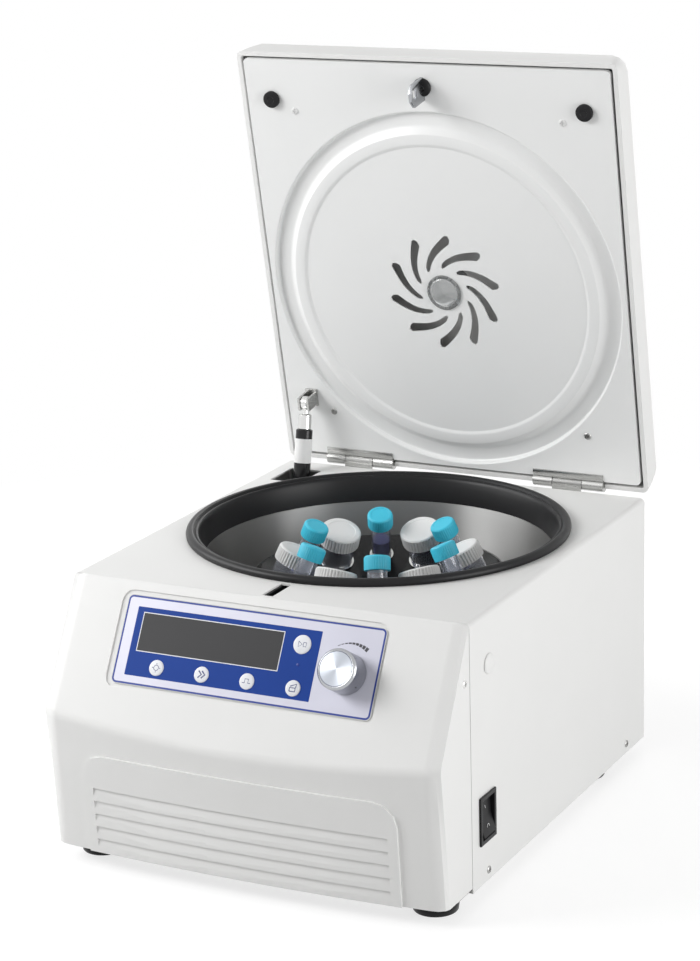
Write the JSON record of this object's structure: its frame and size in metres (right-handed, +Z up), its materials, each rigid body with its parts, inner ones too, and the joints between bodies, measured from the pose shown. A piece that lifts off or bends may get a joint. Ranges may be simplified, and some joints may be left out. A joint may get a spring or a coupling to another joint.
{
  "type": "benchtop centrifuge",
  "caption": "Benchtop centrifuge with an open hinged lid, a fixed-angle rotor with capped tubes, a raked control panel with knob and keys, a side power switch and rubber feet.",
  "frame": {"origin": "centre of the overall box's footprint, on the bench that the feet stand on", "axes": "+X to the right seen from the front, +Y to the rear where the lid is hinged, +Z up"},
  "size_m": [0.3494, 0.4611, 0.6098],
  "materials": {
    "case_paint": "satin",
    "cover_moulding": "satin",
    "liner": "gloss",
    "rubber": "matt",
    "bowl_steel": "brushed",
    "plated_steel": "plated",
    "striker_chrome": "polished",
    "rotor_black": "black anodised",
    "motor_black": "satin",
    "nut_aluminium": "turned",
    "knob_satin": "satin",
    "cap_white": "moulded",
    "cap_turquoise": "moulded",
    "window_clear": "clear",
    "overlay_blue": "printed film",
    "screen": "gloss",
    "key_white": "satin",
    "black_plastic": "satin",
    "circuit_board": "lacquered"
  },
  "bodies": {
    "case": {"case_shell": "case_paint", "base_plate": "plated_steel", "foot_front_left": "rubber", "foot_front_right": "rubber", "foot_rear_left": "rubber", "foot_rear_right": "rubber", "rear_panel": "case_paint", "armour_ring": "bowl_steel", "chamber_bowl": "bowl_steel", "chamber_gasket": "rubber", "motor_mount": "rubber", "motor_body": "motor_black", "case_leaf_left": "plated_steel", "case_leaf_right": "plated_steel", "lock_body": "black_plastic", "front_cover": "cover_moulding", "control_overlay": "overlay_blue", "display_window": "screen", "status_lamp": "window_clear", "encoder_body": "black_plastic", "control_board": "circuit_board", "switch_body": "black_plastic", "power_inlet": "black_plastic", "drive_board": "circuit_board"},
    "lid": {"lid_shell": "cover_moulding", "lid_liner": "liner", "lid_window": "window_clear", "lid_bumper_left": "rubber", "lid_bumper_right": "rubber", "latch_striker": "striker_chrome", "lid_leaf_left": "plated_steel", "lid_leaf_right": "plated_steel", "strut_bracket": "plated_steel"},
    "strut_cylinder": {"strut_cylinder": "black_plastic"},
    "strut_rod": {"strut_rod": "bowl_steel"},
    "rotor": {"drive_shaft": "bowl_steel", "rotor_body": "rotor_black", "rotor_nut": "nut_aluminium", "tube_50ml_1": "cap_white", "tube_50ml_2": "cap_white", "tube_50ml_3": "cap_white", "tube_50ml_4": "cap_white", "tube_50ml_5": "cap_white", "tube_50ml_6": "cap_white", "tube_15ml_1": "cap_turquoise", "tube_15ml_2": "cap_turquoise", "tube_15ml_3": "cap_turquoise", "tube_15ml_4": "cap_turquoise", "tube_15ml_5": "cap_turquoise", "tube_15ml_6": "cap_turquoise"},
    "speed_knob": {"speed_knob": "knob_satin", "encoder_shaft": "plated_steel"},
    "switch_rocker": {"switch_rocker": "black_plastic"},
    "release_plug": {"release_plug": "key_white"},
    "lock_bolt": {"lock_bolt": "bowl_steel"},
    "key_start": {"key_start": "key_white"},
    "key_set": {"key_set": "key_white"},
    "key_shift": {"key_shift": "key_white"},
    "key_pulse": {"key_pulse": "key_white"},
    "key_lid": {"key_lid": "key_white"}
  },
  "joints": [
    {"name": "lid_hinge", "type": "hinge", "parent": "case", "child": "lid", "pos_m": [-0.00097, 0.2035, 0.2323], "axis": [1, 0, 0], "range_deg": [0, 78.8], "stiffness_Nm_per_rad": 1.8, "springref_deg": -28.65},
    {"name": "strut_pivot", "type": "hinge", "parent": "lid", "child": "strut_cylinder", "pos_m": [-0.14297, 0.17762, 0.28834], "axis": [1, 0, 0], "range_deg": [-72.83, 0]},
    {"name": "strut_slide", "type": "slide", "parent": "strut_cylinder", "child": "strut_rod", "axis": [0, 0.1933, 0.9811], "range_m": [0, 0.075]},
    {"name": "rotor_spin", "type": "hinge", "parent": "case", "child": "rotor", "pos_m": [-0.00097, 0.0322, 0.1], "axis": [0, 0, 1], "continuous": true},
    {"name": "knob_turn", "type": "hinge", "parent": "case", "child": "speed_knob", "pos_m": [0.08203, -0.1928, 0.18432], "axis": [0, -0.8695, 0.4939], "continuous": true},
    {"name": "rocker_tilt", "type": "hinge", "parent": "case", "child": "switch_rocker", "pos_m": [0.16733, -0.139, 0.0632], "axis": [0, 1, 0], "range_deg": [0, 19]},
    {"name": "key_start_press", "type": "slide", "parent": "case", "child": "key_start", "axis": [0, 0.8695, -0.4939], "range_m": [0, 0.0006], "stiffness_N_per_m": 1000, "springref_m": -0.0005},
    {"name": "key_set_press", "type": "slide", "parent": "case", "child": "key_set", "axis": [0, 0.8695, -0.4939], "range_m": [0, 0.0006], "stiffness_N_per_m": 1000, "springref_m": -0.0005},
    {"name": "key_shift_press", "type": "slide", "parent": "case", "child": "key_shift", "axis": [0, 0.8695, -0.4939], "range_m": [0, 0.0006], "stiffness_N_per_m": 1000, "springref_m": -0.0005},
    {"name": "key_pulse_press", "type": "slide", "parent": "case", "child": "key_pulse", "axis": [0, 0.8695, -0.4939], "range_m": [0, 0.0006], "stiffness_N_per_m": 1000, "springref_m": -0.0005},
    {"name": "key_lid_press", "type": "slide", "parent": "case", "child": "key_lid", "axis": [0, 0.8695, -0.4939], "range_m": [0, 0.0006], "stiffness_N_per_m": 1000, "springref_m": -0.0005},
    {"name": "plug_pull", "type": "slide", "parent": "case", "child": "release_plug", "axis": [1, 0, 0], "range_m": [0, 0.01]},
    {"name": "bolt_slide", "type": "slide", "parent": "case", "child": "lock_bolt", "axis": [1, 0, 0], "range_m": [0, 0.011]}
  ],
  "couplings": [
    {"joint": "strut_pivot", "follows": "lid_hinge", "ratio": -0.92166},
    {"joint": "strut_slide", "follows": "lid_hinge", "m_per_rad": 0.054342}
  ]
}
